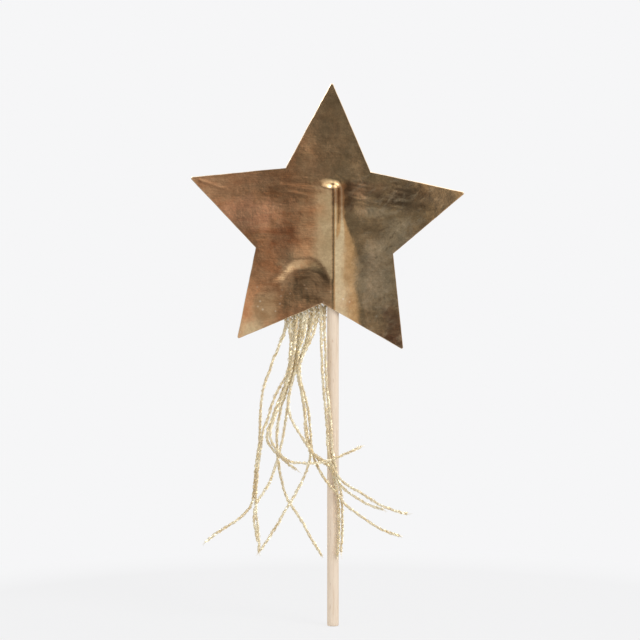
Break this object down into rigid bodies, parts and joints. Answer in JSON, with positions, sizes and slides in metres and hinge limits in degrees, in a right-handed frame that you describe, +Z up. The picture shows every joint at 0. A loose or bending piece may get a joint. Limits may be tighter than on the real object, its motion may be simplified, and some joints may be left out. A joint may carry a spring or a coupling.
{
  "type": "cupcake topper",
  "caption": "Foil star on a round wooden stick, with a tassel of metallic threads hanging from the star's lower edge.",
  "frame": {"origin": "centre of the stick's blunt lower end", "axes": "+Z up along the stick; -Y out of the front star's face; +X to the right as seen from the front"},
  "size_m": [0.0562, 0.0056, 0.1111],
  "materials": {
    "foil": "card with a mirror foil face, champagne to copper gold, slightly wavy and crackled",
    "film": "thin double-sided adhesive film, whitish",
    "stick_wood": "plain pale birch, fine straight grain, matte",
    "thread": "twisted metallic yarn, pale gold, glittering"
  },
  "bodies": {
    "star_and_stick": {"stick": "stick_wood", "front_star": "foil", "back_star": "foil", "adhesive_sheet": "film", "fold_1": "thread", "fold_2": "thread", "fold_3": "thread", "fold_4": "thread", "fold_5": "thread", "fold_6": "thread"},
    "tassel": {"strand_01": "thread", "strand_02": "thread", "strand_03": "thread", "strand_04": "thread", "strand_05": "thread", "strand_06": "thread", "strand_07": "thread", "strand_08": "thread", "strand_09": "thread", "strand_10": "thread", "strand_11": "thread", "strand_12": "thread"}
  },
  "joints": [
    {"name": "tassel_swing", "type": "hinge", "parent": "star_and_stick", "child": "tassel", "pos_m": [-0.00559, 0, 0.06409], "axis": [-0.9195, 0, -0.393], "range_deg": [0, 70]}
  ]
}
